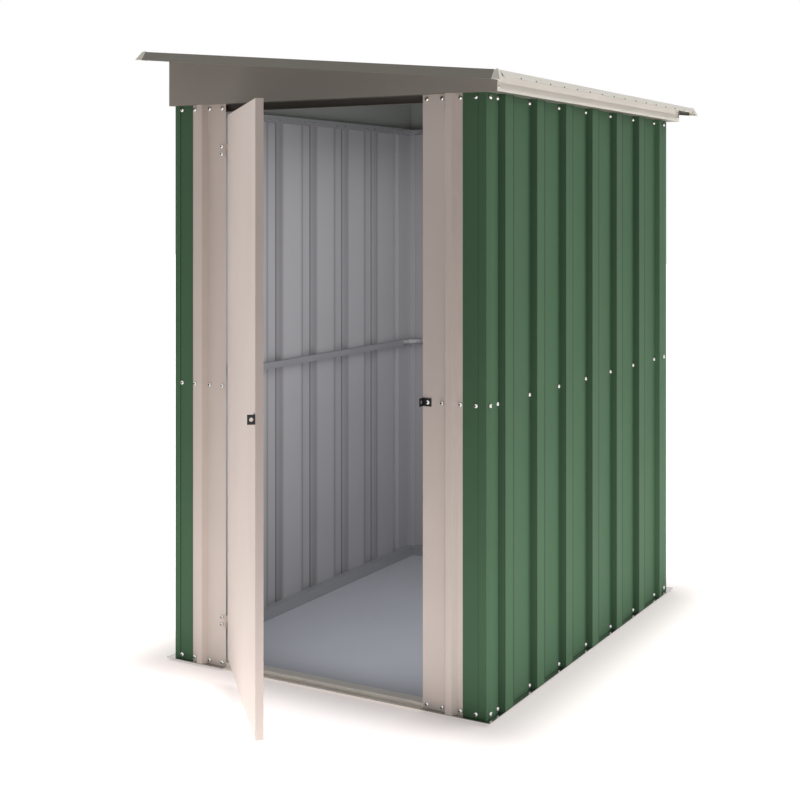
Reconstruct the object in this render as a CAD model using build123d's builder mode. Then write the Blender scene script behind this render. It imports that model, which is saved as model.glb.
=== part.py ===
from build123d import *
import os
from math import cos, hypot, radians, sin, tan

os.makedirs("parts", exist_ok=True)

# Metal tool shed: ribbed sheet walls on a base frame, a mono-pitch roof and one hinged door.
# Millimetres. The origin is at the centre of the footprint on the ground, the doorway faces -Y.

# Walls
wall_width = 1133.0
wall_depth = 1570.0
wall_height = 1800.0
sheet = 1.0
sheet_lap = 15.0

# Ribs of the wall sheets
rib_height = 17.0
rib_flank = 11.0
rib_top = 62.0
narrow_rib_top = 20.0
rib_pitch = 224.7
rib_margin = 1.4

# Corner panels
corner_front = 77.0
corner_side = 74.0
corner_crease = 27.0
corner_taper = 3.0

# Doorway
jamb_width = 208.5
jamb_rib_margin = 17.5

# Base frame and floor
frame_sheet = 1.5
base_height = 40.0
base_depth = 30.0
base_lip = 17.5
lip_level = 8.0
sill_height = 21.0
sill_depth = 40.0
floor_thickness = 4.0
floor_gap = 0.3

# Wall rails and the joiners at their corners
rail_depth = 18.0
rail_end = 30.0
mid_rail_height = 22.0
mid_rail_level = 905.0
top_rail_height = 24.0
joiner_leg = 100.0
joiner_margin = 2.0

# Fascias between the walls and the roof
fascia_front = 17.0
fascia_left = 7.0
fascia_right = 41.0
fascia_return = 20.0
fascia_bead = 8.0
fascia_dish = 5.0
fascia_gap = 0.3

# Roof
low_eave_rise = 49.15
roof_pitch_angle = 5.4
roof_side_overhang = 85.6
roof_front_overhang = 90.0
roof_back_overhang = 120.0
roof_rib_height = 10.0
roof_rib_top = 28.0
roof_rib_flank = 8.0
roof_rib_count = 16

# Trim round the edge of the roof
trim_lean = 15.0
trim_flange = 12.0
trim_drop = 28.0
eave_trim_drop = 18.0
trim_lip = 10.0
trim_room = 2.0
notch_gap = 0.5

# Door
door_thickness = 22.0
door_foot = 41.0
door_gap = 4.0
door_head_gap = 12.0
door_open_angle = 47.0
door_lip = 15.0
brace_height = 60.0
brace_depth = 16.0
brace_level_shares = (0.3, 0.7)

# Hinges
hinge_proud = 6.0
hinge_height = 40.0
lower_hinge_inset = 112.0
upper_hinge_inset = 110.5
hinge_leaf = 34.0
hinge_plate = 1.5
knuckle_radius = 4.0
pin_radius = 2.0
pin_clearance = 0.05
knuckle_gap = 0.3

# Padlock eyes on the door and on the jamb
eye_level = 902.0
eye_plate = 2.0
eye_radius = 5.5
eye_reach = 22.0
door_eye_height = 27.0
door_eye_leg = 26.0
jamb_eye_height = 24.0
jamb_eye_leg = 29.0

cut_overrun = 5.0

# Places worked out from the sizes above
half_width = wall_width / 2
half_depth = wall_depth / 2
lapped = 2 * sheet
rib_base = 2 * rib_flank
inside_x = half_width - lapped
inside_y = half_depth - lapped
jamb_edge = half_width - jamb_width
door_width = 2 * (jamb_edge - 2 * door_gap)
door_height = wall_height - top_rail_height - door_head_gap - door_foot
slope = radians(roof_pitch_angle)
roof_mid_height = wall_height + low_eave_rise + half_width * tan(slope)
roof_half_run = (half_width + roof_side_overhang) / cos(slope)
along_slope = Vector(cos(slope), 0, -sin(slope))
off_slope = Vector(sin(slope), 0, cos(slope))
roof_middle = Vector(0, 0, roof_mid_height)
roof_sheet_depth = roof_rib_height + sheet
roof_top = roof_sheet_depth + sheet


def roof_underside(x):
    """Height of the roof sheet's underside at a place across the shed."""
    return roof_mid_height - x * tan(slope)


def left_normal(a, b):
    length = hypot(b[0] - a[0], b[1] - a[1])
    return ((a[1] - b[1]) / length, (b[0] - a[0]) / length)


def folded_outline(path, thickness):
    """Closed outline of a sheet folded along a path, its thickness laid to the left of the path."""
    normals = [left_normal(a, b) for a, b in zip(path, path[1:])]
    far_side = []
    for point, before, after in zip(path, normals[:1] + normals, normals + normals[-1:]):
        reach = thickness / (1 + before[0] * after[0] + before[1] * after[1])
        far_side.append((point[0] + reach * (before[0] + after[0]), point[1] + reach * (before[1] + after[1])))
    return path + far_side[::-1]


def flip_first(path):
    """The path mirrored in its first coordinate, still with the inside on its left."""
    return [(-a, b) for a, b in reversed(path)]


def flip_second(path):
    return [(a, -b) for a, b in reversed(path)]


def four_corners(path):
    return (path, flip_first(path), flip_second(path), flip_first(flip_second(path)))


def save(piece, name):
    piece.part.label = name
    export_step(piece.part, f"parts/{name}.step")


def folded_sheet(name, plane, length, thickness, *paths):
    """One node of sheet pieces, each folded along its path and run square to the plane."""
    with BuildPart() as piece:
        for path in paths:
            with BuildSketch(plane):
                with BuildLine():
                    Polyline(*folded_outline(path, thickness), close=True)
                make_face()
        extrude(amount=length)
    save(piece, name)


def ribbed_run(start, end, feet, tops):
    """Run of a ribbed sheet, as pairs of the place along it and the height of the rib."""
    run = [(start, 0)]
    for foot, top in zip(feet, tops):
        run += [
            (foot, 0),
            (foot + rib_flank, rib_height),
            (foot + rib_flank + top, rib_height),
            (foot + rib_base + top, 0),
        ]
    return run + [(end, 0)]


# Planes: across the shed seen from the front, and along it seen from the right
front_view = Plane(origin=(0, 0, 0), x_dir=(1, 0, 0), z_dir=(0, -1, 0))
right_view = Plane(origin=(0, 0, 0), x_dir=(0, 1, 0), z_dir=(1, 0, 0))

# Base frame: hat sections with an outer lip, on which the wall sheets stand


def base_rail(name, plane, length, path, lip_low, lip_high):
    """A folded rail and its lip, which lies between two corners."""
    with BuildPart() as rail:
        with BuildSketch(plane):
            with BuildLine():
                Polyline(*folded_outline(path, frame_sheet), close=True)
            make_face()
        extrude(amount=length)
        with BuildSketch(Plane.XY.offset(lip_foot)):
            with Locations(((lip_low[0] + lip_high[0]) / 2, (lip_low[1] + lip_high[1]) / 2)):
                Rectangle(lip_high[0] - lip_low[0], lip_high[1] - lip_low[1])
        extrude(amount=frame_sheet)
    save(rail, name)


lip_foot = lip_level - frame_sheet
lip_x = half_width + base_lip
lip_y = half_depth + base_lip
lip_inner_x = inside_x - frame_sheet
lip_inner_y = inside_y - frame_sheet
lip_end_y = lip_inner_y - floor_gap
side_base_path = [
    (half_width - base_depth, 0),
    (half_width - base_depth, base_height),
    (lip_inner_x, base_height),
    (lip_inner_x, lip_foot),
]
side_length = wall_depth - 2 * corner_crease
side_plane = front_view.offset(-side_length / 2)
left_base_path = flip_first(side_base_path)
right_lip = ((lip_inner_x, -lip_end_y), (lip_x, lip_end_y))
left_lip = ((-lip_x, -lip_end_y), (-lip_inner_x, lip_end_y))
base_rail("right_base_rail", side_plane, side_length, side_base_path, *right_lip)
base_rail("left_base_rail", side_plane, side_length, left_base_path, *left_lip)

cross_base_half = half_width - base_depth - frame_sheet
cross_base_plane = right_view.offset(-cross_base_half)
cross_base_length = 2 * cross_base_half
back_base_path = [
    (half_depth - base_depth, 0),
    (half_depth - base_depth, base_height),
    (lip_inner_y, base_height),
    (lip_inner_y, lip_foot),
]
sill_path = [
    (-lip_inner_y, 0),
    (-lip_inner_y, sill_height - frame_sheet),
    (-half_depth + sill_depth, sill_height - frame_sheet),
    (-half_depth + sill_depth, 0),
]
back_lip = ((-lip_x, lip_inner_y), (lip_x, lip_y))
front_lip = ((-lip_x, -lip_y), (lip_x, -lip_inner_y))
base_rail("back_base_rail", cross_base_plane, cross_base_length, back_base_path, *back_lip)
base_rail("front_sill", cross_base_plane, cross_base_length, sill_path, *front_lip)

# Floor panel, laid on the ground inside the base frame
floor_half = cross_base_half - floor_gap
floor_front = -half_depth + sill_depth + frame_sheet + floor_gap
floor_back = half_depth - base_depth - frame_sheet - floor_gap
with BuildPart() as floor_panel:
    with BuildSketch(Plane.XY):
        with Locations((0, (floor_front + floor_back) / 2)):
            Rectangle(2 * floor_half, floor_back - floor_front)
    extrude(amount=floor_thickness)
save(floor_panel, "floor_panel")

# Corner panels, creased a little way from each corner
wall_foot = Plane.XY.offset(lip_level)
wall_rise = wall_height - lip_level
front_right_corner = [
    (half_width - corner_front, -half_depth),
    (half_width - corner_crease, -half_depth),
    (half_width - corner_taper, -half_depth + corner_taper),
    (half_width, -half_depth + corner_crease),
    (half_width, -half_depth + corner_side),
]
corner_names = ("front_right", "front_left", "back_right", "back_left")
for corner_name, path in zip(corner_names, four_corners(front_right_corner)):
    folded_sheet(f"{corner_name}_corner_panel", wall_foot, wall_rise, sheet, path)

# Side and back wall sheets, tucked behind the corner panels
side_end = half_depth - corner_side + sheet_lap
first_side_foot = -half_depth + corner_side + rib_margin
last_side_foot = half_depth - corner_side - rib_margin - rib_base - narrow_rib_top
side_rib_count = 1 + int((last_side_foot - first_side_foot) / rib_pitch)
side_feet = [first_side_foot + i * rib_pitch for i in range(side_rib_count)]
side_tops = [rib_top] * (side_rib_count - 1) + [narrow_rib_top]
side_run = ribbed_run(-side_end, side_end, side_feet, side_tops)
right_wall_path = [(half_width - sheet + out, along) for along, out in side_run]
folded_sheet("right_wall_sheet", wall_foot, wall_rise, sheet, right_wall_path)
folded_sheet("left_wall_sheet", wall_foot, wall_rise, sheet, flip_first(right_wall_path))

back_end = half_width - corner_front + sheet_lap
back_rib_room = wall_width - 2 * corner_front - rib_base - rib_top
back_rib_count = 1 + int(back_rib_room / rib_pitch)
back_first_foot = -(back_rib_count - 1) * rib_pitch / 2 - rib_top / 2 - rib_flank
back_feet = [back_first_foot + i * rib_pitch for i in range(back_rib_count)]
back_run = ribbed_run(-back_end, back_end, back_feet, [rib_top] * back_rib_count)
back_wall_path = [(-along, half_depth - sheet + out) for along, out in back_run]
folded_sheet("back_wall_sheet", wall_foot, wall_rise, sheet, back_wall_path)

# Door jambs, each with one narrow rib
jamb_rib_foot = half_width - corner_front - jamb_rib_margin - rib_base - narrow_rib_top
jamb_run = ribbed_run(jamb_edge, back_end, [jamb_rib_foot], [narrow_rib_top])
right_jamb_path = [(along, -half_depth + sheet - out) for along, out in jamb_run]
folded_sheet("right_door_jamb", wall_foot, wall_rise, sheet, right_jamb_path)
folded_sheet("left_door_jamb", wall_foot, wall_rise, sheet, flip_first(right_jamb_path))


def rail_path(face, depth, low, high):
    """Channel that opens towards the sheet at face, with its web inside the shed."""
    return [(face, high), (face - depth, high), (face - depth, low), (face, low)]


# Rails behind the sheets, at mid height and along the top of the walls
side_rail_length = wall_depth - 2 * rail_end
side_rail_plane = front_view.offset(-side_rail_length / 2)
cross_rail_half = half_width - rail_end
cross_rail_plane = right_view.offset(-cross_rail_half)
mid_low = mid_rail_level - mid_rail_height / 2
mid_high = mid_rail_level + mid_rail_height / 2
top_low = wall_height - top_rail_height
for level, low, high in (("mid", mid_low, mid_high), ("top", top_low, wall_height)):
    side_path = rail_path(inside_x, rail_depth, low, high)
    back_path = rail_path(inside_y, rail_depth, low, high)
    folded_sheet(f"right_{level}_rail", side_rail_plane, side_rail_length, frame_sheet, side_path)
    folded_sheet(f"left_{level}_rail", side_rail_plane, side_rail_length, frame_sheet, flip_first(side_path))
    folded_sheet(f"back_{level}_rail", cross_rail_plane, 2 * cross_rail_half, frame_sheet, back_path)

lintel_path = flip_first(rail_path(inside_y, rail_depth, top_low, wall_height))
folded_sheet("front_lintel", cross_rail_plane, 2 * cross_rail_half, frame_sheet, lintel_path)

front_mid_path = flip_first(rail_path(inside_y, rail_depth, mid_low, mid_high))
front_mid_start = jamb_edge + hinge_leaf + sheet_lap
front_mid_length = cross_rail_half - front_mid_start
for side, start in (("left", -cross_rail_half), ("right", front_mid_start)):
    plane = right_view.offset(start)
    folded_sheet(f"front_{side}_mid_rail", plane, front_mid_length, frame_sheet, front_mid_path)

# Joiners that tie the rails together at the four corners
joiner_path = [
    (inside_x - rail_depth, half_depth - joiner_leg),
    (inside_x - rail_depth, inside_y - rail_depth),
    (half_width - joiner_leg, inside_y - rail_depth),
]
for level, low, high in (("mid", mid_low, mid_high), ("top", top_low, wall_height)):
    plane = Plane.XY.offset(low + joiner_margin)
    rise = high - low - 2 * joiner_margin
    folded_sheet(f"{level}_corner_joiners", plane, rise, frame_sheet, *four_corners(joiner_path))

# Low and high fascias, folded under at the wall top
fascia_inner = half_width - fascia_return
right_fascia_x = half_width + fascia_right
right_fascia_top = roof_underside(right_fascia_x) - fascia_gap
right_fascia_path = [
    (fascia_inner, wall_height),
    (right_fascia_x, wall_height),
    (right_fascia_x, wall_height + fascia_bead),
    (right_fascia_x - fascia_dish, (wall_height + fascia_bead + right_fascia_top) / 2),
    (right_fascia_x, right_fascia_top),
]
left_fascia_x = -half_width - fascia_left
left_fascia_path = [
    (left_fascia_x, roof_underside(left_fascia_x + sheet)),
    (left_fascia_x, wall_height),
    (-fascia_inner, wall_height),
]
fascia_y = half_depth + fascia_front
fascia_length = 2 * (fascia_y - sheet)
fascia_plane = front_view.offset(-fascia_length / 2)
folded_sheet("right_fascia", fascia_plane, fascia_length, sheet, right_fascia_path)
folded_sheet("left_fascia", fascia_plane, fascia_length, sheet, left_fascia_path)

# Wedge fascias over the front and back walls
for side, facing in (("front", -1), ("back", 1)):
    with BuildPart() as wedge_fascia:
        with BuildSketch(Plane.XZ.offset(-facing * fascia_y)):
            with BuildLine():
                Polyline(
                    (left_fascia_x, wall_height),
                    (right_fascia_x, wall_height),
                    (right_fascia_x, right_fascia_top),
                    (left_fascia_x, roof_underside(left_fascia_x)),
                    close=True,
                )
            make_face()
        extrude(amount=facing * sheet)
        with BuildSketch(Plane.XY.offset(wall_height)):
            with Locations((0, facing * (fascia_y - (fascia_front + fascia_return) / 2))):
                Rectangle(2 * (fascia_inner - sheet), fascia_front + fascia_return)
        extrude(amount=sheet)
    save(wedge_fascia, f"{side}_fascia")

# Roof sheet: ribs run down the slope, and both edges end on the crown of a rib
roof_front = -half_depth - roof_front_overhang
roof_back = half_depth + roof_back_overhang
sheet_inset = trim_lean + sheet + trim_room
sheet_front = roof_front + sheet_inset
sheet_back = roof_back - sheet_inset
sheet_half_run = roof_half_run - sheet_inset
roof_rib_pitch = (sheet_back - sheet_front) / roof_rib_count
crown_half = roof_rib_top / 2
foot_half = crown_half + roof_rib_flank
roof_path = []
for i in range(roof_rib_count + 1):
    crown = sheet_front + i * roof_rib_pitch
    roof_path += [
        (crown - foot_half, 0),
        (crown - crown_half, roof_rib_height),
        (crown + crown_half, roof_rib_height),
        (crown + foot_half, 0),
    ]
roof_path = [(sheet_front, roof_rib_height)] + roof_path[2:-2] + [(sheet_back, roof_rib_height)]
slope_section = Plane(origin=roof_middle - along_slope * sheet_half_run, x_dir=(0, 1, 0), z_dir=along_slope)
slope_face = Plane(origin=roof_middle, x_dir=along_slope, z_dir=off_slope)

# Corner caps close the roof trim, and the roof sheet is notched to clear them
cap_size = trim_lean + trim_flange
notch = cap_size - sheet_inset + notch_gap
sheet_middle = (sheet_front + sheet_back) / 2
with BuildPart() as roof_sheet:
    with BuildSketch(slope_section):
        with BuildLine():
            Polyline(*folded_outline(roof_path, sheet), close=True)
        make_face()
    extrude(amount=2 * sheet_half_run)
    with BuildSketch(slope_face):
        with Locations((0, sheet_middle)):
            with GridLocations(2 * sheet_half_run, sheet_back - sheet_front, 2, 2):
                Rectangle(2 * notch, 2 * notch)
    extrude(amount=roof_top + cut_overrun, both=True, mode=Mode.SUBTRACT)
save(roof_sheet, "roof_sheet")

# Edge trims: a flange on the rib crowns, a face that leans outwards and a lip turned in below it


def trim_path(edge, outward, drop):
    path = [
        (edge - outward * cap_size, roof_top),
        (edge - outward * trim_lean, roof_top),
        (edge, roof_top - drop),
        (edge - outward * trim_lip, roof_top - drop),
    ]
    return path if outward < 0 else path[::-1]


trim_half_run = roof_half_run - cap_size
gable_trim_plane = Plane(origin=roof_middle - along_slope * trim_half_run, x_dir=(0, 1, 0), z_dir=along_slope)
front_trim_path = trim_path(roof_front, -1, trim_drop)
back_trim_path = trim_path(roof_back, 1, trim_drop)
folded_sheet("front_roof_trim", gable_trim_plane, 2 * trim_half_run, sheet, front_trim_path)
folded_sheet("back_roof_trim", gable_trim_plane, 2 * trim_half_run, sheet, back_trim_path)

eave_trim_start = Vector(0, roof_back - cap_size, 0)
eave_trim_length = roof_back - roof_front - 2 * cap_size
eave_trim_plane = Plane(origin=roof_middle + eave_trim_start, x_dir=along_slope, z_dir=(0, -1, 0))
right_trim_path = trim_path(roof_half_run, 1, eave_trim_drop)
left_trim_path = trim_path(-roof_half_run, -1, eave_trim_drop)
folded_sheet("right_roof_trim", eave_trim_plane, eave_trim_length, sheet, right_trim_path)
folded_sheet("left_roof_trim", eave_trim_plane, eave_trim_length, sheet, left_trim_path)

cap_top_size = cap_size - trim_lean
cap_top_place = trim_lean + cap_top_size / 2
for across, run_sign in (("left", -1), ("right", 1)):
    for end, edge, outward in (("front", roof_front, -1), ("back", roof_back, 1)):
        with BuildPart() as corner_cap:
            with BuildSketch(slope_face.offset(roof_top - trim_drop)):
                with Locations((run_sign * (roof_half_run - cap_size / 2), edge - outward * cap_size / 2)):
                    Rectangle(cap_size, cap_size)
            with BuildSketch(slope_face.offset(roof_top)):
                with Locations((run_sign * (roof_half_run - cap_top_place), edge - outward * cap_top_place)):
                    Rectangle(cap_top_size, cap_top_size)
            loft(ruled=True)
        save(corner_cap, f"{end}_{across}_roof_cap")

# Door frame of reference: from the hinge axis along the door, into the door and up
hinge_x = -jamb_edge + door_gap
hinge_y = -half_depth - hinge_proud
swing = radians(door_open_angle)
along_door = Vector(cos(swing), -sin(swing), 0)
into_door = Vector(sin(swing), cos(swing), 0)
hinge_foot = Vector(hinge_x, hinge_y, 0)
door_plan = Plane(origin=hinge_foot, x_dir=along_door, z_dir=(0, 0, 1))
door_section = Plane(origin=hinge_foot, x_dir=into_door, z_dir=along_door)

# Door panel: a tray with lips folded in round its back
door_middle = (door_gap + door_width / 2, hinge_proud + door_thickness / 2)
with BuildPart() as door_panel:
    with BuildSketch(door_plan.offset(door_foot)):
        with Locations(door_middle):
            Rectangle(door_width, door_thickness)
    extrude(amount=door_height)
    with BuildSketch(door_plan.offset(door_foot + sheet)):
        with Locations(door_middle):
            Rectangle(door_width - lapped, door_thickness - lapped)
    extrude(amount=door_height - lapped, mode=Mode.SUBTRACT)
    with BuildSketch(door_plan.offset(door_foot + door_lip)):
        with Locations((door_middle[0], hinge_proud + door_thickness)):
            Rectangle(door_width - 2 * door_lip, door_thickness)
    extrude(amount=door_height - 2 * door_lip, mode=Mode.SUBTRACT)
save(door_panel, "door_panel")

# Braces across the door, open towards its skin
skin_inside = hinge_proud + sheet
brace_paths = []
for share in brace_level_shares:
    low = door_foot + share * door_height - brace_height / 2
    high = low + brace_height
    brace_paths.append([
        (skin_inside, low),
        (skin_inside + brace_depth, low),
        (skin_inside + brace_depth, high),
        (skin_inside, high),
    ])
brace_plane = door_section.offset(door_gap + sheet)
folded_sheet("door_braces", brace_plane, door_width - lapped, frame_sheet, *brace_paths)

# Hinges: the jamb leaf carries the lower knuckle and the pin, the door leaf the upper knuckle
knuckle_height = (hinge_height - knuckle_gap) / 2
leaf_y = -inside_y + hinge_plate / 2
hinge_levels = (door_foot + lower_hinge_inset, door_foot + door_height - upper_hinge_inset)
web_x = hinge_x - knuckle_radius / 2
for level_name, level in zip(("lower", "upper"), hinge_levels):
    hinge_low = level - hinge_height / 2
    knuckle_top = hinge_low + knuckle_height + knuckle_gap
    with BuildPart() as jamb_leaf:
        with BuildSketch(Plane.XY.offset(hinge_low)):
            with Locations((web_x + hinge_plate / 2 - hinge_leaf / 2, leaf_y)):
                Rectangle(hinge_leaf, hinge_plate)
            with Locations((web_x, (leaf_y + hinge_y) / 2)):
                Rectangle(hinge_plate, leaf_y - hinge_y + hinge_plate)
            with Locations((hinge_x, hinge_y)):
                Circle(knuckle_radius)
        extrude(amount=knuckle_height)
        with BuildSketch(Plane.XY.offset(hinge_low)):
            with Locations((hinge_x, hinge_y)):
                Circle(pin_radius)
        extrude(amount=hinge_height)
        with BuildSketch(Plane.XY.offset(hinge_low)):
            with Locations((web_x - hinge_plate / 2 - hinge_leaf / 2, leaf_y)):
                Rectangle(hinge_leaf - hinge_plate, hinge_plate)
        extrude(amount=hinge_height)
    save(jamb_leaf, f"{level_name}_hinge_jamb_leaf")

    with BuildPart() as door_leaf:
        with BuildSketch(door_plan.offset(knuckle_top)):
            with Locations((door_gap - hinge_plate / 2, (hinge_proud + door_thickness) / 2)):
                Rectangle(hinge_plate, hinge_proud + door_thickness)
            Circle(knuckle_radius)
            Circle(pin_radius + pin_clearance, mode=Mode.SUBTRACT)
        extrude(amount=knuckle_height)
    save(door_leaf, f"{level_name}_hinge_door_leaf")

# Padlock eyes: one on the free edge of the door, one on the right jamb
door_free = door_gap + door_width
door_eye_path = [
    (door_free - door_eye_leg, hinge_proud),
    (door_free, hinge_proud),
    (door_free, hinge_proud - eye_reach),
]
with BuildPart() as door_eye:
    with BuildSketch(door_plan.offset(eye_level - door_eye_height / 2)):
        with BuildLine():
            Polyline(*folded_outline(door_eye_path[::-1], eye_plate), close=True)
        make_face()
    extrude(amount=door_eye_height)
    with BuildSketch(door_section.offset(door_free)):
        with Locations((hinge_proud - eye_reach / 2, eye_level)):
            Circle(eye_radius)
    extrude(amount=eye_plate + cut_overrun, both=True, mode=Mode.SUBTRACT)
save(door_eye, "door_padlock_eye")

jamb_face = -half_depth + sheet
jamb_eye_path = [
    (jamb_edge + jamb_eye_leg, jamb_face),
    (jamb_edge, jamb_face),
    (jamb_edge, jamb_face - eye_reach),
]
with BuildPart() as jamb_eye:
    with BuildSketch(Plane.XY.offset(eye_level - jamb_eye_height / 2)):
        with BuildLine():
            Polyline(*folded_outline(jamb_eye_path, eye_plate), close=True)
        make_face()
    extrude(amount=jamb_eye_height)
    with BuildSketch(Plane.YZ.offset(jamb_edge)):
        with Locations((jamb_face - eye_reach / 2, eye_level)):
            Circle(eye_radius)
    extrude(amount=eye_plate + cut_overrun, both=True, mode=Mode.SUBTRACT)
save(jamb_eye, "jamb_padlock_eye")
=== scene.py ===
from math import cos, pi, radians, sin, tan

import bmesh
import bpy
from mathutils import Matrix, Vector


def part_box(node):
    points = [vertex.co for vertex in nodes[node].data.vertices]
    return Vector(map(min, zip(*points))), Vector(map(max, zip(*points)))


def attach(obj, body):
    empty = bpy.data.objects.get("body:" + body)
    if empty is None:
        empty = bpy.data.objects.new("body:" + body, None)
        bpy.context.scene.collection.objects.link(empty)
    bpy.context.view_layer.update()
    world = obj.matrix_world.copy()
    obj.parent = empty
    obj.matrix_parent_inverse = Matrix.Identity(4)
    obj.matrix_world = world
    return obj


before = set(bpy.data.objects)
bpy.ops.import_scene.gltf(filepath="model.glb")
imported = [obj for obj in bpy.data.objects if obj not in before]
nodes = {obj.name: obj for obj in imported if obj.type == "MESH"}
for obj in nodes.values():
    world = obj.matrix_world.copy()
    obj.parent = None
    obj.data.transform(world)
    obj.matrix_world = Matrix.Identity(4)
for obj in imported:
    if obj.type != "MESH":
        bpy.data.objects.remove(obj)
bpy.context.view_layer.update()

# Places on the shed, in metres: read from the frame, or repeated from the part's named lengths
corner_low, corner_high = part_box("front_right_corner_panel")
half_width = corner_high.x
half_depth = -corner_low.y
wall_top = corner_high.z
rib_height = 0.017
rib_flank = 0.011
rib_top = 0.062
rib_pitch = 0.2247
rib_base = 2 * rib_flank + rib_top
narrow_rib_top = 0.020
narrow_base = 2 * rib_flank + narrow_rib_top
side_ribs = 7
back_ribs = 4
corner_side = 0.074
rib_margin = 0.0014
corner_crease = 0.027
first_foot = -half_depth + corner_side + rib_margin
last_foot = first_foot + (side_ribs - 1) * rib_pitch
back_feet = [(step - (back_ribs - 1) / 2) * rib_pitch - rib_base / 2 for step in range(back_ribs)]
valley_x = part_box("right_wall_sheet")[1].x - rib_height
valley_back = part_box("back_wall_sheet")[1].y - rib_height
jamb_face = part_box("right_door_jamb")[0].y + rib_height
doorway_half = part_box("right_door_jamb")[0].x
lip_inset = 0.0015
door_swing = radians(47)
out_of_door = Vector((-sin(door_swing), -cos(door_swing), 0))

# Roof: places are given down the slope, along the shed and above the sheet's underside
roof_slope = radians(5.4)
down_slope = Vector((cos(roof_slope), 0, -sin(roof_slope)))
up_from_roof = Vector((sin(roof_slope), 0, cos(roof_slope)))
low_eave_rise = 0.04915
roof_side_overhang = 0.0856
roof_middle = Vector((0, 0, wall_top + low_eave_rise + half_width * tan(roof_slope)))
roof_half_run = (half_width + roof_side_overhang) / cos(roof_slope)
roof_top = 0.012
trim_lean = 0.015
cap_top = 0.012
eave_trim_drop = 0.018


def on_roof(run, along, height):
    return roof_middle + run * down_slope + Vector((0, along, 0)) + height * up_from_roof


def srgb(red, green, blue):
    """A linear colour from the red, green and blue of a screen colour, 0 to 255."""

    def linear(value):
        share = value / 255
        return share / 12.92 if share <= 0.04045 else ((share + 0.055) / 1.055) ** 2.4

    return (linear(red), linear(green), linear(blue), 1)


# Colours of the paints and metals
green_paint = srgb(82, 114, 87)
cream_paint = srgb(214, 203, 196)
jamb_paint = srgb(228, 218, 210)
trim_paint = srgb(240, 237, 226)
# Darker copies of the trim and fascia paint for the front and back: painted shade
front_trim_painted_shade = srgb(151, 148, 139)
front_fascia_painted_shade = srgb(163, 159, 151)
cap_paint = srgb(248, 245, 232)
inside_paint = srgb(176, 175, 178)
# Darker copy of the inside grey: painted shade under the roof
under_roof_painted_shade = srgb(156, 159, 156)
fascia_underside_painted_shade = srgb(128, 126, 116)
roof_paint = srgb(188, 187, 182)
floor_paint = srgb(190, 194, 202)
# Dark grey of the lintel: painted shade under the fascia
lintel_painted_shade = srgb(112, 108, 103)
rail_grey = srgb(166, 167, 170)
fascia_paint = srgb(250, 247, 238)
sill_grey = srgb(238, 234, 224)
lip_grey = srgb(186, 185, 182)
zinc_grey = srgb(206, 207, 209)
screw_grey = srgb(222, 222, 220)
# Dark grey of the trim rivets: painted shade of the gaps at the roof ribs' ends
rivet_painted_shade_grey = srgb(104, 101, 94)
# Black of the padlock eyes' enamel, also painted shade in the screws' recesses
enamel_and_recess_shade_black = srgb(24, 24, 26)

# Painted shade along the bends of the sheets: where the shade begins and ends beside the bend, and its
# darkest share
crown_inset = 0.002
crown_painted_shade = (0.0015, 0.0035, 0.5)
foot_painted_shade = (0.0, 0.022, 0.68)
crease_shade_line = (0.0010, 0.0030)
deep_crease_shade = 0.4
faint_crease_shade = 0.85


class Graph:
    """A node tree, with short ways to add nodes to it."""

    def __init__(self, tree):
        self.tree = tree
        self.place = self.node("ShaderNodeTexCoord")

    def feed(self, value, socket):
        if isinstance(value, bpy.types.NodeSocket):
            self.tree.links.new(value, socket)
        else:
            socket.default_value = value

    def node(self, kind, inputs=None, **settings):
        made = self.tree.nodes.new(kind)
        for key, value in settings.items():
            setattr(made, key, value)
        for socket, value in (inputs or {}).items():
            self.feed(value, made.inputs[socket])
        return made

    def math(self, operation, *values):
        return self.node("ShaderNodeMath", dict(enumerate(values)), operation=operation).outputs["Value"]

    def vector(self, operation, *values):
        made = self.node("ShaderNodeVectorMath", dict(enumerate(values)), operation=operation)
        return made.outputs["Value" if operation in ("DOT_PRODUCT", "LENGTH") else "Vector"]

    def ramp(self, value, start, end, low, high):
        inputs = {"Value": value, "From Min": start, "From Max": end, "To Min": low, "To Max": high}
        return self.node("ShaderNodeMapRange", inputs, interpolation_type="SMOOTHSTEP").outputs["Result"]

    def choose(self, share, first, second):
        return self.node("ShaderNodeMix", {0: share, 2: first, 3: second}).outputs[0]

    def beyond_walls(self):
        """How far a place lies outside the walls, across the shed and along it."""
        sides = self.vector("ABSOLUTE", self.place.outputs["Object"])
        return self.vector("SUBTRACT", sides, (half_width, half_depth, 0))

    def seen_directly(self):
        """1 for rays from the camera, a mirror or glass, 0 for rays that light the object."""
        path = self.node("ShaderNodeLightPath").outputs
        mirrored = self.math("MAXIMUM", path["Is Glossy Ray"], path["Is Transmission Ray"])
        return self.math("MAXIMUM", path["Is Camera Ray"], mirrored)


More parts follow.
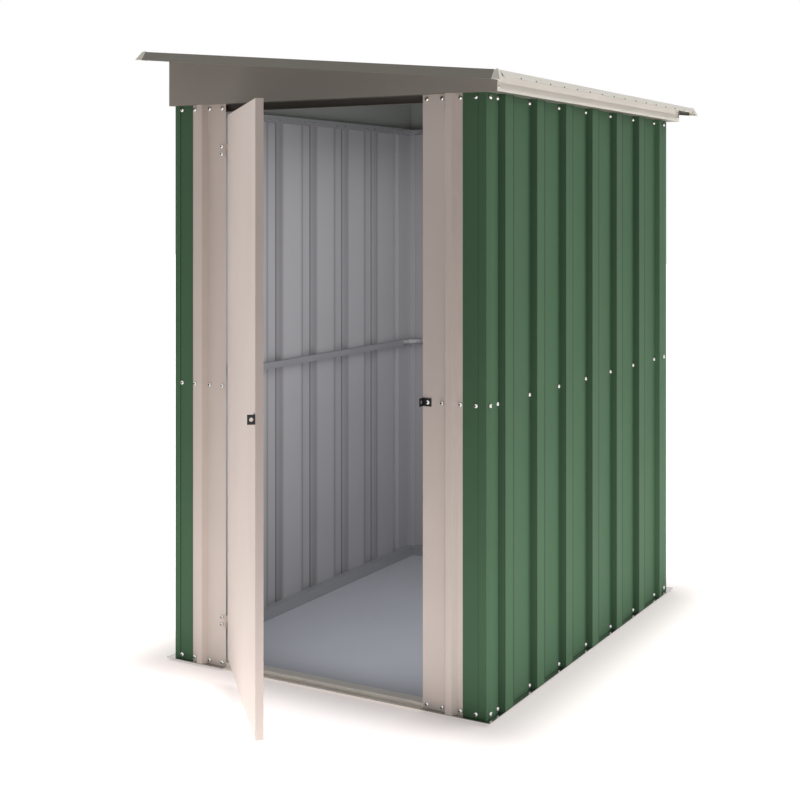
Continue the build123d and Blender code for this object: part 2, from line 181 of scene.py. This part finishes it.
class Shader(Graph):
    """A principled material."""

    def __init__(self, name, **sockets):
        self.material = bpy.data.materials.new(name)
        self.material.use_nodes = True
        super().__init__(self.material.node_tree)
        self.surface = self.tree.nodes["Principled BSDF"]
        for socket, value in sockets.items():
            self.surface.inputs[socket.replace("_", " ").title().replace("Ior", "IOR")].default_value = value

    def noise(self, scale, detail=2.0, stretch=(1, 1, 1)):
        placed = self.node("ShaderNodeMapping", {"Vector": self.place.outputs["Object"], "Scale": stretch})
        inputs = {"Vector": placed.outputs["Vector"], "Scale": scale, "Detail": detail}
        return self.node("ShaderNodeTexNoise", inputs).outputs["Fac"]

    def ranged(self, value, low, high):
        inputs = {"Value": value, "To Min": low, "To Max": high}
        return self.node("ShaderNodeMapRange", inputs).outputs["Result"]

    def mixed(self, share, first, second, blend="MIX"):
        mix = self.node("ShaderNodeMix", data_type="RGBA", blend_type=blend)
        for socket, value in zip((0, 6, 7), (share, first, second)):
            self.feed(value, mix.inputs[socket])
        return mix.outputs[2]

    def toned(self, paint, tone):
        """A paint made lighter or darker by a tone."""
        grey = self.node("ShaderNodeCombineColor", {"Red": tone, "Green": tone, "Blue": tone})
        return self.mixed(1.0, paint, grey.outputs["Color"], "MULTIPLY")

    def facing(self, direction, least=-0.3):
        """1 on faces that look along a direction, 0 on faces that look further away from it."""
        turned = self.vector("DOT_PRODUCT", self.place.outputs["Normal"], direction)
        return self.math("GREATER_THAN", turned, least)

    def bump(self, height, strength, distance):
        inputs = {"Height": height, "Strength": strength, "Distance": distance}
        self.feed(self.node("ShaderNodeBump", inputs).outputs["Normal"], self.surface.inputs["Normal"])

    def colour(self, value):
        self.feed(value, self.surface.inputs["Base Color"])

    def roughness(self, value):
        self.feed(value, self.surface.inputs["Roughness"])


def mottled(shader, paint, depth=0.06):
    """A paint with faint cloudy changes of tone."""
    return shader.toned(paint, shader.ranged(shader.noise(3.1, 3.0), 1 - depth, 1 + depth))


def painted_bend_shade(shader, along, first, last):
    """Painted shade of a ribbed sheet: fine dark lines along the bends of each rib's top, and darker feet.
    """
    place = shader.vector("DOT_PRODUCT", shader.place.outputs["Object"], along)
    lines = [(bend, crown_painted_shade) for bend in (rib_flank + crown_inset, rib_flank + rib_top - crown_inset)]
    feet = [(bend, foot_painted_shade) for bend in (0, rib_base)]
    tone = 1.0
    for bend, (near, far, darkest) in lines + feet:
        past = shader.math("SUBTRACT", place, first + bend)
        away = shader.math("ABSOLUTE", shader.math("WRAP", past, rib_pitch / 2, -rib_pitch / 2))
        tone = shader.math("MULTIPLY", tone, shader.ramp(away, near, far, darkest, 1.0))
    return shader.choose(shader.math("GREATER_THAN", place, last), tone, 1.0)


def painted_crease_shade(shader, darkest):
    """Painted shade of a corner panel: a fine dark line along the crease of its front or back."""
    beyond = shader.node("ShaderNodeSeparateXYZ", {"Vector": shader.beyond_walls()}).outputs
    away = shader.math("ABSOLUTE", shader.math("ADD", beyond["X"], corner_crease))
    return shader.ramp(away, *crease_shade_line, darkest, 1.0)


def painted(name, outside, inside=None, outward=None, gloss=0.03, under=None, bends=None, crease=None):
    """Rolled sheet with a satin paint outside and, where they differ, another inside and a painted shade on
    faces below.
    """
    shader = Shader(name, specular_ior_level=gloss)
    paint = outside
    if inside is not None:
        paint = shader.mixed(shader.facing(outward), inside, outside)
    # Faces that look down take a painted shade
    if under is not None:
        paint = shader.mixed(shader.facing((0, 0, -1), 0.7), paint, under)
    paint = mottled(shader, paint)
    # Painted shade along the ribs' bends and at their feet
    if bends is not None:
        paint = shader.toned(paint, painted_bend_shade(shader, *bends))
    # Painted shade along a corner panel's crease
    if crease is not None:
        paint = shader.toned(paint, painted_crease_shade(shader, crease))
    shader.colour(paint)
    shader.roughness(shader.ranged(shader.noise(9.0, 3.0), 0.42, 0.54))
    shader.bump(shader.noise(520.0, 1.0), 0.06, 0.0004)
    return shader.material


def steel(name, base, metallic, low, high, spangle=0.05):
    """Zinc-coated steel with a faint spangle."""
    shader = Shader(name, metallic=metallic)
    cells = shader.node("ShaderNodeTexVoronoi", {"Vector": shader.place.outputs["Object"], "Scale": 110.0})
    shader.colour(shader.toned(base, shader.ranged(cells.outputs["Color"], 1 - spangle, 1 + spangle / 2)))
    shader.roughness(shader.ranged(shader.noise(40.0, 3.0), low, high))
    shader.bump(shader.noise(260.0, 2.0), 0.03, 0.0003)
    return shader.material


def base_steel(name, base):
    """Grey rail whose lip outside the walls is bright, apart from the step in the doorway."""
    shader = Shader(name, specular_ior_level=0.3)
    beyond = shader.node("ShaderNodeSeparateXYZ", {"Vector": shader.beyond_walls()}).outputs
    lip = shader.math("GREATER_THAN", shader.math("MAXIMUM", beyond["X"], beyond["Y"]), -lip_inset)
    along = shader.vector("DOT_PRODUCT", shader.place.outputs["Object"], (0, 1, 0))
    beside_door = shader.math("GREATER_THAN", beyond["X"], doorway_half - half_width)
    at_back = shader.math("GREATER_THAN", along, 0)
    bright = shader.math("MULTIPLY", lip, shader.math("MAXIMUM", beside_door, at_back))
    shader.colour(mottled(shader, shader.mixed(bright, base, lip_grey), 0.05))
    shader.feed(shader.choose(bright, 0.2, 1.0), shader.surface.inputs["Metallic"])
    rough = shader.ranged(shader.noise(30.0, 3.0), 0.9, 1.1)
    shader.roughness(shader.math("MULTIPLY", rough, shader.choose(bright, 0.45, 0.12)))
    shader.bump(shader.noise(260.0, 2.0), 0.03, 0.0003)
    return shader.material


def floor_board(name):
    """Pale grey floor panel with a fine grain."""
    shader = Shader(name, specular_ior_level=0.3)
    shader.colour(mottled(shader, floor_paint, 0.05))
    shader.roughness(shader.ranged(shader.noise(14.0, 3.0), 0.45, 0.62))
    shader.bump(shader.noise(420.0, 2.0), 0.08, 0.0005)
    return shader.material


def enamel_and_recess_shade(name):
    """Black enamel of the padlock eyes, and painted shade in the screws' recesses."""
    shader = Shader(name, specular_ior_level=0.4)
    shader.colour(mottled(shader, enamel_and_recess_shade_black, 0.2))
    shader.roughness(shader.ranged(shader.noise(160.0), 0.35, 0.5))
    shader.bump(shader.noise(700.0, 1.0), 0.1, 0.0003)
    return shader.material


def dress(node, material):
    """Give a node of the solids its material."""
    slots = nodes[node].data.materials
    slots.clear()
    slots.append(material)


# Sheets of the walls: painted outside, grey inside
outward_of = {
    "left": Vector((-1, 0, 0)),
    "right": Vector((1, 0, 0)),
    "front": Vector((0, -1, 0)),
    "back": Vector((0, 1, 0)),
}
ends = ("front", "back")
sides = ("left", "right")
before_narrow_rib = last_foot - 0.03
bends_of = {
    "left": ((0, 1, 0), first_foot, before_narrow_rib),
    "right": ((0, 1, 0), first_foot, before_narrow_rib),
    "back": ((1, 0, 0), back_feet[0], half_width),
}
for side, bends in bends_of.items():
    material = painted(f"{side}_green", green_paint, inside_paint, outward_of[side], bends=bends)
    dress(f"{side}_wall_sheet", material)
for end in ends:
    for side in sides:
        outward = outward_of[end] + outward_of[side]
        # The front left corner panel takes the deepest painted shade along its crease
        crease = deep_crease_shade if (end, side) == ("front", "left") else faint_crease_shade
        material = painted(f"{end}_{side}_green", green_paint, inside_paint, outward, crease=crease)
        dress(f"{end}_{side}_corner_panel", material)
jamb_material = painted("jamb_cream", jamb_paint, inside_paint, outward_of["front"])
for side in sides:
    dress(f"{side}_door_jamb", jamb_material)
dress("door_panel", painted("door_cream", cream_paint, inside_paint, out_of_door))

# Sheets of the roof: darker copies of the paint over the front and back than along the eaves, which is
# painted shade
for side, outward in outward_of.items():
    across = side in ends
    paint, gloss = (front_fascia_painted_shade, 0.05) if across else (fascia_paint, 0.4)
    material = painted(f"{side}_fascia_cream", paint, under_roof_painted_shade, outward, gloss, fascia_underside_painted_shade)
    dress(f"{side}_fascia", material)
    edge_paint = front_trim_painted_shade if across else trim_paint
    dress(f"{side}_roof_trim", painted(f"{side}_trim_cream", edge_paint, gloss=0.2))
cap_material = painted("cap_cream", cap_paint, gloss=0.3)
for end in ends:
    for side in sides:
        dress(f"{end}_{side}_roof_cap", cap_material)
# The roof's underside takes the painted shade under the roof
dress("roof_sheet", painted("roof_grey", roof_paint, under_roof_painted_shade, up_from_roof))
dress("floor_panel", floor_board("floor_grey"))
# The lintel's dark grey is painted shade
dress("front_lintel", painted("lintel_painted_shade_grey", lintel_painted_shade))

# Steel of the frame and the fittings
rail_steel = steel("rail_steel", rail_grey, 0.3, 0.38, 0.48, 0.03)
rail_base_steel = base_steel("base_steel", rail_grey)
bright_steel = steel("bright_steel", zinc_grey, 0.9, 0.2, 0.3)
screw_steel = steel("screw_steel", screw_grey, 1.0, 0.06, 0.12)
rivet_painted_shade_steel = steel("rivet_painted_shade_steel", rivet_painted_shade_grey, 0.6, 0.35, 0.45)
black_steel = enamel_and_recess_shade("black_steel")
hinge_paint = painted("hinge_cream", cream_paint, gloss=0.3)
for name in nodes:
    if name.endswith("base_rail"):
        dress(name, rail_base_steel)
    elif name.endswith("_rail") or name == "door_braces":
        dress(name, rail_steel)
    elif "joiners" in name:
        dress(name, bright_steel)
    elif "hinge" in name:
        dress(name, hinge_paint)
    elif name.endswith("padlock_eye"):
        dress(name, black_steel)
dress("front_sill", base_steel("sill_steel", sill_grey))


def piece(name, mesh, materials, body):
    """Make a named piece of a mesh that rides on a body of the frame."""
    data = bpy.data.meshes.new(name)
    mesh.normal_update()
    mesh.to_mesh(data)
    mesh.free()
    data.shade_smooth()
    data.set_sharp_from_angle(angle=radians(35))
    for material in materials:
        data.materials.append(material)
    made = bpy.data.objects.new(name, data)
    bpy.context.scene.collection.objects.link(made)
    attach(made, body)
    return made


# Screws: a domed head with a cross recess in black painted shade, as rings of radius, height and share of
# the cross
head_radius = 0.0072
head_height = 0.0052
head_edge = 0.0008
head_sink = 0.0003
dome_steps = 6
dome_angle = 0.42 * pi
cross_share = 0.35
around = 16
screw_rings = [(head_radius, -head_sink, 0), (head_radius, head_edge, 0)]
for step in range(1, dome_steps):
    angle = dome_angle * step / (dome_steps - 1)
    screw_rings.append((head_radius * cos(angle), head_edge + head_height * sin(angle), 0))
crown = screw_rings[-1][1]
screw_rings[-1] = (0.38 * head_radius, crown + 0.0001, cross_share)
screw_rings.append((0.34 * head_radius, crown - 0.0018, cross_share))
screw_rings.append((0.10 * head_radius, crown - 0.0024, 0))
recess_ring = dome_steps
screw_rows = (0.0201, 0.9022, 1.7866)
foot_inset = 0.006
rail_screw_scale = 0.55
rivet_scale = 0.36
cap_screw_scale = 0.65
strip_screw_scale = 0.6


def add_screw(mesh, centre, outward, scale):
    """Add one screw head to a mesh; its recess takes the second material, a black painted shade."""
    turn = Vector((0, 0, 1)).rotation_difference(outward).to_matrix()
    rings = []
    for radius, height, cross in screw_rings:
        ring = []
        for step in range(around):
            angle = 2 * pi * step / around
            reach = radius * (1 + cross * cos(4 * angle))
            point = Vector((reach * cos(angle), reach * sin(angle), height))
            ring.append(mesh.verts.new(centre + turn @ (scale * point)))
        rings.append(ring)
    for level, (low, high) in enumerate(zip(rings, rings[1:])):
        for step in range(around):
            after = (step + 1) % around
            face = mesh.faces.new((low[step], low[after], high[after], high[step]))
            face.material_index = int(level >= recess_ring)
    mesh.faces.new(reversed(rings[0]))
    mesh.faces.new(rings[-1]).material_index = 1


def screws(name, places, outward, scale=1.0, material=screw_steel):
    """Make one piece of all the screws that point the same way."""
    mesh = bmesh.new()
    for place in places:
        add_screw(mesh, Vector(place), Vector(outward).normalized(), scale)
    return piece(name, mesh, (material, black_steel), "shed")


# Screws of the walls, in three rows at the feet of the ribs
rib_feet = [first_foot + step * rib_pitch for step in range(side_ribs)]
rib_ends = [foot + rib_base for foot in rib_feet[:-1]] + [rib_feet[-1] + narrow_base]
side_valley = [foot - foot_inset for foot in rib_feet[1:]] + [end + foot_inset for end in rib_ends[:-1]]
front_edge_inset = 0.0232
back_edge_inset = 0.0442
side_corners = (-half_depth + front_edge_inset, first_foot - foot_inset, half_depth - back_edge_inset)
for side, sign in (("right", 1), ("left", -1)):
    places = []
    for row in screw_rows:
        places += [(sign * half_width, y, row) for y in side_corners]
        places += [(sign * valley_x, y, row) for y in side_valley]
    screws(f"{side}_wall_screws", places, (sign, 0, 0))

# Screws of the front and the back
jamb_screws = (0.3717, 0.4219, 0.4812)
corner_screw = 0.5318
places = []
for row in screw_rows:
    for sign in (-1, 1):
        places.append((sign * corner_screw, -half_depth, row))
        by_eye = sign > 0 and row == screw_rows[1]
        places += [(sign * x, jamb_face, row) for x in jamb_screws[by_eye:]]
screws("front_screws", places, (0, -1, 0))

places = []
for row in screw_rows:
    places += [(sign * corner_screw, half_depth, row) for sign in (-1, 1)]
    for foot in back_feet:
        places += [(x, valley_back, row) for x in (foot - foot_inset, foot + rib_base + foot_inset)]
screws("back_screws", places, (0, 1, 0))

# Screws of the hinges and of the eye on the jamb
hinge_screw_x = -0.373
hinge_screw_spread = 0.0121
places = []
for level in ("lower", "upper"):
    low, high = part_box(f"{level}_hinge_jamb_leaf")
    middle = (low.z + high.z) / 2
    places += [(hinge_screw_x, jamb_face, middle + sign * hinge_screw_spread) for sign in (-1, 1)]
screws("hinge_screws", places, (0, -1, 0))
eye_plate = 0.002
eye_screw_x = 0.3753
eye_screw_z = 0.902
screws("jamb_eye_screw", [(eye_screw_x, jamb_face - eye_plate, eye_screw_z)], (0, -1, 0))

# Pairs of small screws along the top rails inside
third_pair = -0.2455
pair_pitch = 0.2235
pair_middles = [third_pair + pair_pitch * step for step in range(-2, 5)]
pair_spread = 0.0303
pair_drop = 0.003
for side, sign in (("right", 1), ("left", -1)):
    low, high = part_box(f"{side}_top_rail")
    face = low.x if sign > 0 else high.x
    level = (low.z + high.z) / 2 - pair_drop
    places = [(face, y + shift, level) for y in pair_middles for shift in (-pair_spread, pair_spread)]
    screws(f"{side}_rail_screws", places, (-sign, 0, 0), rail_screw_scale)

# Dark rivets under the roof's ribs along the lower edge of the eave trims, their dark grey painted shade of
# the gaps at the ribs' ends, and a screw on each cap
trim_low, trim_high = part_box("right_roof_trim")
rivet_lift = 0.003
first_rivet = 0.115
rivet_step = 0.1046
rivet_count = 16
rivet_places = [trim_low.y + first_rivet + step * rivet_step for step in range(rivet_count)]
for side, sign in (("right", 1), ("left", -1)):
    edge = on_roof(sign * roof_half_run, 0, roof_top - eave_trim_drop)
    rise = (on_roof(sign * (roof_half_run - trim_lean), 0, roof_top) - edge).normalized()
    outward = sign * Vector((0, 1, 0)).cross(rise)
    places = [edge + rivet_lift * rise + Vector((0, y, 0)) for y in rivet_places]
    screws(f"{side}_trim_rivets", places, outward, rivet_scale, rivet_painted_shade_steel)
    cap_run = sign * (roof_half_run - trim_lean - cap_top / 2)
    cap_ends = (trim_low.y - cap_top / 2, trim_high.y + cap_top / 2)
    cap_places = [on_roof(cap_run, y, roof_top) for y in cap_ends]
    screws(f"{side}_cap_screws", cap_places, up_from_roof, cap_screw_scale)


def add_strip(mesh, line, thickness, start, end):
    """Add a strip bent along a line of places across the shed and up, run from start to end."""
    rings = []
    for x, z in line:
        corners = ((x, start), (x + thickness, start), (x + thickness, end), (x, end))
        rings.append([mesh.verts.new((a, b, z)) for a, b in corners])
    for low, high in zip(rings, rings[1:]):
        for step in range(4):
            after = (step + 1) % 4
            mesh.faces.new((low[step], low[after], high[after], high[step]))
    mesh.faces.new(reversed(rings[0]))
    mesh.faces.new(rings[-1])
    bmesh.ops.recalc_face_normals(mesh, faces=mesh.faces)


# End strips of the side fascias, each held by two screws
strip_width = 0.022
strip_thickness = 0.0006
strip_front_inset = 0.0005
strip_back_inset = 0.004
strip_top_inset = 0.002
strip_screw_shares = (0.12, 0.68)
fascia_bead = 0.008
fascia_dish = 0.005
strip_material = painted("strip_cream", cap_paint, gloss=0.3)
for side, sign in (("right", 1), ("left", -1)):
    low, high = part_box(f"{side}_fascia")
    dish = fascia_dish if sign > 0 else 0
    face = high.x if sign > 0 else low.x
    bottom = wall_top + fascia_bead
    middle = (bottom + high.z) / 2
    line = [(face, bottom), (face - sign * dish, middle), (face, high.z - strip_top_inset)]
    mesh = bmesh.new()
    places = []
    for start in (low.y + strip_front_inset, high.y - strip_width - strip_back_inset):
        add_strip(mesh, line, sign * strip_thickness, start, start + strip_width)
        for share in strip_screw_shares:
            depth = dish * (1 - abs(2 * share - 1))
            x = face - sign * (depth - strip_thickness)
            places.append((x, start + strip_width / 2, bottom + share * (high.z - bottom)))
    piece(f"{side}_fascia_strips", mesh, [strip_material], "shed")
    screws(f"{side}_fascia_screws", places, (sign, 0, 0), strip_screw_scale)

# Camera at the photograph's viewing place
camera_data = bpy.data.cameras.new("camera")
camera_data.sensor_width = 36
camera_data.lens = 61.72
camera_data.shift_y = -0.2404
camera = bpy.data.objects.new("camera", camera_data)
camera.location = (2.293, -4.300, 1.470)
camera.rotation_euler = (radians(90), 0, radians(29.78))
bpy.context.scene.collection.objects.link(camera)
bpy.context.scene.camera = camera


def studio_floor():
    """Pale floor with a painted soft shadow near the walls and under the door, white further off, and a glow
    that lights the shed as painted bounce light.
    """
    material = bpy.data.materials.new("studio_floor")
    material.use_nodes = True
    material.node_tree.nodes.clear()
    graph = Graph(material.node_tree)
    distance = graph.vector("LENGTH", graph.vector("MAXIMUM", graph.beyond_walls(), (0, 0, 0)))
    # Painted shadow on the seen floor, close under parts of the shed and near the walls
    open_sky = graph.node("ShaderNodeAmbientOcclusion", {"Distance": 0.1}, samples=8).outputs["AO"]
    contact = graph.ramp(open_sky, 0.55, 0.96, 0.2, 1)
    contact = graph.math("MAXIMUM", contact, graph.ramp(distance, 0.1, 0.16, 1, 0))
    white = graph.math("MULTIPLY", contact, graph.ramp(distance, 0.0, 0.28, 0.34, 0.88))
    across = graph.vector("DOT_PRODUCT", graph.place.outputs["Object"], (1, 0, 0))
    # The floor glows for rays that light the shed: painted bounce light, strongest a little way from the
    # walls and weaker on the left
    painted_bounce_glow = graph.ramp(distance, 0, 0.5, 0.35, 2.1)
    painted_bounce_glow = graph.math("MULTIPLY", painted_bounce_glow, graph.ramp(distance, 0.5, 1.7, 1, 0))
    painted_bounce_glow = graph.math("MULTIPLY", painted_bounce_glow, graph.ramp(across, -1.2, 0.1, 0.6, 1))
    strength = graph.choose(graph.seen_directly(), painted_bounce_glow, white)
    glow = graph.node("ShaderNodeEmission", {"Color": (1, 0.955, 0.94, 1), "Strength": strength})
    diffuse = graph.node("ShaderNodeBsdfDiffuse", {"Color": (0.8, 0.735, 0.725, 1)})
    both = graph.node("ShaderNodeAddShader", {0: diffuse.outputs["BSDF"], 1: glow.outputs["Emission"]})
    graph.node("ShaderNodeOutputMaterial", {"Surface": both.outputs["Shader"]})
    return material


floor_reach = 30
floor_turns = ((-1, -1), (1, -1), (1, 1), (-1, 1))
floor_corners = [(x * floor_reach, y * floor_reach, 0) for x, y in floor_turns]
floor_data = bpy.data.meshes.new("floor")
floor_data.from_pydata(floor_corners, [], [(0, 1, 2, 3)])
floor_data.materials.append(studio_floor())
floor = bpy.data.objects.new("floor", floor_data)
bpy.context.scene.collection.objects.link(floor)


def studio_world():
    """Soft light from both sides and the back, and a white background for the camera and mirrors."""
    world = bpy.data.worlds.new("studio")
    bpy.context.scene.world = world
    world.use_nodes = True
    graph = Graph(world.node_tree)
    direction = graph.place.outputs["Generated"]
    light = 0.03
    for side, strength in (((0.66, 0.60, 0.45), 1.75), ((-0.85, 0, 0.53), 2.2), ((0, 0.75, 0.66), 0.8)):
        towards = graph.vector("DOT_PRODUCT", direction, Vector(side).normalized())
        light = graph.math("ADD", light, graph.ramp(towards, 0.66, 0.98, 0, strength))
    surroundings = graph.tree.nodes["Background"]
    surroundings.inputs["Color"].default_value = (1, 1, 1, 1)
    graph.feed(graph.choose(graph.seen_directly(), light, 1.0), surroundings.inputs["Strength"])


studio_world()


def softbox(name, place, aim, width, height, power):
    """A soft lamp that lights the inside of the shed and isn't seen itself."""
    data = bpy.data.lights.new(name, "AREA")
    data.shape = "RECTANGLE"
    data.size = width
    data.size_y = height
    data.energy = power
    lamp = bpy.data.objects.new(name, data)
    lamp.location = place
    lamp.rotation_euler = (Vector(aim) - Vector(place)).to_track_quat("-Z", "Y").to_euler()
    lamp.visible_camera = False
    lamp.visible_glossy = False
    bpy.context.scene.collection.objects.link(lamp)


softbox("doorway_softbox", (0, -0.72, 0.95), (0, 0.7, 0.95), 0.62, 1.5, 4.0)
softbox("side_softbox", (0.50, 0.05, 0.95), (-0.5, 0.05, 0.95), 1.2, 1.4, 3.0)
softbox("ceiling_softbox", (0.1, 0.05, 1.74), (0.1, 0.05, 0), 0.7, 1.1, 3.0)

bpy.context.scene.view_settings.view_transform = "Standard"
